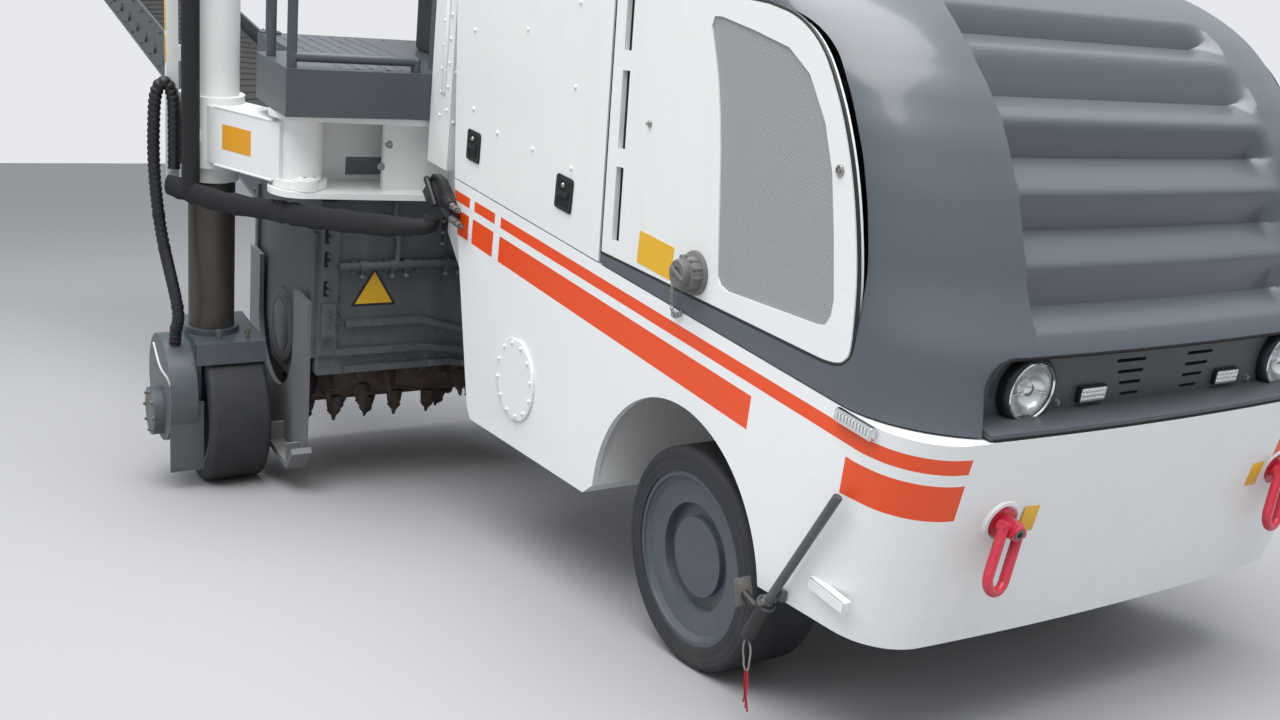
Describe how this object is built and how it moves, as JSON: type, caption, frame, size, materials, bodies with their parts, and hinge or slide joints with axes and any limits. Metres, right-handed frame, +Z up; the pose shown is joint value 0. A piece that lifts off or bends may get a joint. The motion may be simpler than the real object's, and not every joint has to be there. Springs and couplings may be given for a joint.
{
  "type": "wheeled cold planer milling machine",
  "caption": "compact road milling machine on solid tyres, with a side-mounted milling drum, a swing-out rear wheel, a hooded engine and a slewing rear discharge conveyor",
  "frame": {"origin": "centre of the bounding box on the floor", "axes": "+X to the front of the machine along its length, +Y to its left, +Z up"},
  "size_m": [9.4482, 2.938, 2.8918],
  "materials": {
    "white_paint": "gloss white paint",
    "grey_paint": "satin dark blue-grey paint",
    "tyre_rubber": "solid rubber, dusty",
    "rim_paint": "satin dark grey paint",
    "black_plastic": "matt black plastic",
    "grille_grey": "perforated light grey grille",
    "lamp_glass": "clear lamp lens",
    "red_paint": "gloss red paint",
    "hose_rubber": "woven hose sleeve",
    "steel": "worn steel",
    "drum_steel": "rusty worn steel",
    "belt_rubber": "belt rubber",
    "seat_vinyl": "black seat cover",
    "tail_red": "red lamp lens"
  },
  "bodies": {
    "chassis": {"lower_frame": "white_paint", "front_axle": "grey_paint", "rear_frame": "white_paint", "rear_cover": "white_paint", "engine_block": "steel", "drum_housing": "grey_paint", "operator_floor": "grey_paint", "operator_seat": "seat_vinyl", "console": "grey_paint", "handrails": "grey_paint", "ladder": "grey_paint", "exhaust": "steel", "leg_sleeve_left": "white_paint", "hose_coupler": "black_plastic", "cross_hose": "hose_rubber", "pointer_rod": "grey_paint", "tail_lamps": "tail_red", "tie_down_lugs": "grey_paint"},
    "hood": {"hood": "grey_paint", "lamp_panel": "black_plastic", "headlamps": "lamp_glass", "work_lamps": "lamp_glass"},
    "door_right": {"door_right": "white_paint", "door_grille_right": "grille_grey", "fuel_cap": "steel"},
    "door_left": {"door_left": "white_paint", "door_grille_left": "grille_grey"},
    "flap_right": {"flap_right": "white_paint"},
    "flap_left": {"flap_left": "white_paint"},
    "lift_boss_right": {"lift_boss_right": "red_paint"},
    "lift_ring_right": {"lift_ring_right": "red_paint"},
    "lift_boss_left": {"lift_boss_left": "red_paint"},
    "lift_ring_left": {"lift_ring_left": "red_paint"},
    "knuckle_right": {"knuckle_right": "grey_paint"},
    "knuckle_left": {"knuckle_left": "grey_paint"},
    "wheel_front_right": {"tyre_front_right": "tyre_rubber", "rim_front_right": "rim_paint"},
    "wheel_front_left": {"tyre_front_left": "tyre_rubber", "rim_front_left": "rim_paint"},
    "swing_arm": {"swing_arm": "white_paint", "leg_hoses": "hose_rubber"},
    "leg_sleeve_right": {"leg_sleeve_right": "white_paint"},
    "leg_right": {"leg_right": "grey_paint", "motor_hose": "hose_rubber"},
    "leg_left": {"leg_left": "grey_paint"},
    "wheel_rear_right": {"tyre_rear_right": "tyre_rubber", "rim_rear_right": "rim_paint"},
    "wheel_rear_left": {"tyre_rear_left": "tyre_rubber", "rim_rear_left": "rim_paint"},
    "drum": {"drum": "drum_steel"},
    "side_plate_right": {"side_plate_right": "grey_paint"},
    "side_plate_left": {"side_plate_left": "grey_paint"},
    "scraper": {"scraper": "grey_paint"},
    "conveyor_yoke": {"conveyor_yoke": "grey_paint"},
    "conveyor": {"conveyor_frame": "grey_paint", "conveyor_belt": "belt_rubber"}
  },
  "joints": [
    {"name": "hood_hinge", "type": "hinge", "parent": "chassis", "child": "hood", "pos_m": [3.39698, 0.331, 2.19342], "axis": [0, -1, 0], "range_deg": [0, 50]},
    {"name": "door_right_hinge", "type": "hinge", "parent": "hood", "child": "door_right", "pos_m": [3.34944, -0.518, 1.60137], "axis": [-0.1114, 0, -0.9938], "range_deg": [0, 100]},
    {"name": "door_left_hinge", "type": "hinge", "parent": "hood", "child": "door_left", "pos_m": [3.34944, 1.18, 1.60137], "axis": [0.1114, 0, 0.9938], "range_deg": [0, 100]},
    {"name": "flap_right_hinge", "type": "hinge", "parent": "chassis", "child": "flap_right", "pos_m": [2.87179, -0.523, 2.08945], "axis": [-0.981, 0, 0.1942], "range_deg": [0, 100]},
    {"name": "flap_left_hinge", "type": "hinge", "parent": "chassis", "child": "flap_left", "pos_m": [2.87179, 1.185, 2.08945], "axis": [0.981, 0, -0.1942], "range_deg": [0, 100]},
    {"name": "lift_boss_right_swivel", "type": "hinge", "parent": "chassis", "child": "lift_boss_right", "pos_m": [4.63516, -0.207, 0.65359], "axis": [0.9537, 0, -0.3008], "continuous": true},
    {"name": "lift_boss_left_swivel", "type": "hinge", "parent": "chassis", "child": "lift_boss_left", "pos_m": [4.63516, 0.869, 0.65359], "axis": [0.9537, 0, -0.3008], "continuous": true},
    {"name": "lift_ring_right_hinge", "type": "hinge", "parent": "lift_boss_right", "child": "lift_ring_right", "pos_m": [4.68952, -0.207, 0.63645], "axis": [0.1271, -0.9063, 0.403], "range_deg": [-15, 150]},
    {"name": "lift_ring_left_hinge", "type": "hinge", "parent": "lift_boss_left", "child": "lift_ring_left", "pos_m": [4.68952, 0.869, 0.63645], "axis": [0.1271, -0.9063, 0.403], "range_deg": [-15, 150]},
    {"name": "steering_right", "type": "hinge", "parent": "chassis", "child": "knuckle_right", "pos_m": [3.7467, -0.209, 0.33], "axis": [0.1942, 0, 0.981], "range_deg": [-30, 30]},
    {"name": "steering_left", "type": "hinge", "parent": "chassis", "child": "knuckle_left", "pos_m": [3.7467, 0.871, 0.33], "axis": [0.1942, 0, 0.981], "range_deg": [-30, 30]},
    {"name": "wheel_front_right_spin", "type": "hinge", "parent": "knuckle_right", "child": "wheel_front_right", "pos_m": [3.7467, -0.373, 0.33], "axis": [0, 1, 0], "continuous": true},
    {"name": "wheel_front_left_spin", "type": "hinge", "parent": "knuckle_left", "child": "wheel_front_left", "pos_m": [3.7467, 1.035, 0.33], "axis": [0, 1, 0], "continuous": true},
    {"name": "swing_arm_pivot", "type": "hinge", "parent": "chassis", "child": "swing_arm", "pos_m": [1.62064, -0.969, 1.43398], "axis": [0.1942, 0, 0.981], "range_deg": [0, 180], "deforming": ["cross_hose"]},
    {"name": "leg_sleeve_pivot", "type": "hinge", "parent": "swing_arm", "child": "leg_sleeve_right", "pos_m": [1.18706, -1.209, 1.51983], "axis": [0.1942, 0, 0.981], "range_deg": [-180, 0]},
    {"name": "leg_right_slide", "type": "slide", "parent": "leg_sleeve_right", "child": "leg_right", "axis": [0.1942, 0, 0.981], "range_m": [-0.03, 0.48]},
    {"name": "leg_left_slide", "type": "slide", "parent": "chassis", "child": "leg_left", "axis": [0.1942, 0, 0.981], "range_m": [-0.03, 0.48]},
    {"name": "wheel_rear_right_spin", "type": "hinge", "parent": "leg_right", "child": "wheel_rear_right", "pos_m": [0.95147, -1.151, 0.33], "axis": [0, 1, 0], "continuous": true},
    {"name": "wheel_rear_left_spin", "type": "hinge", "parent": "leg_left", "child": "wheel_rear_left", "pos_m": [0.95147, 1.151, 0.33], "axis": [0, 1, 0], "continuous": true},
    {"name": "drum_spin", "type": "hinge", "parent": "chassis", "child": "drum", "pos_m": [1.02196, -0.369, 0.68602], "axis": [0, 1, 0], "continuous": true},
    {"name": "side_plate_right_lift", "type": "slide", "parent": "chassis", "child": "side_plate_right", "axis": [0.1942, 0, 0.981], "range_m": [0, 0.38]},
    {"name": "side_plate_left_lift", "type": "slide", "parent": "chassis", "child": "side_plate_left", "axis": [0.1942, 0, 0.981], "range_m": [0, 0.38]},
    {"name": "scraper_lift", "type": "slide", "parent": "chassis", "child": "scraper", "axis": [0.1942, 0, 0.981], "range_m": [0, 0.35]},
    {"name": "conveyor_slew", "type": "hinge", "parent": "chassis", "child": "conveyor_yoke", "pos_m": [0.32559, -0.369, 1.79235], "axis": [0.1942, 0, 0.981], "range_deg": [-25, 25]},
    {"name": "conveyor_lift", "type": "hinge", "parent": "conveyor_yoke", "child": "conveyor", "pos_m": [0.21876, -0.369, 1.25282], "axis": [0, 1, 0], "range_deg": [-10, 12]}
  ],
  "couplings": [
    {"joint": "steering_left", "follows": "steering_right", "ratio": 1},
    {"joint": "leg_sleeve_pivot", "follows": "swing_arm_pivot", "ratio": -1}
  ]
}
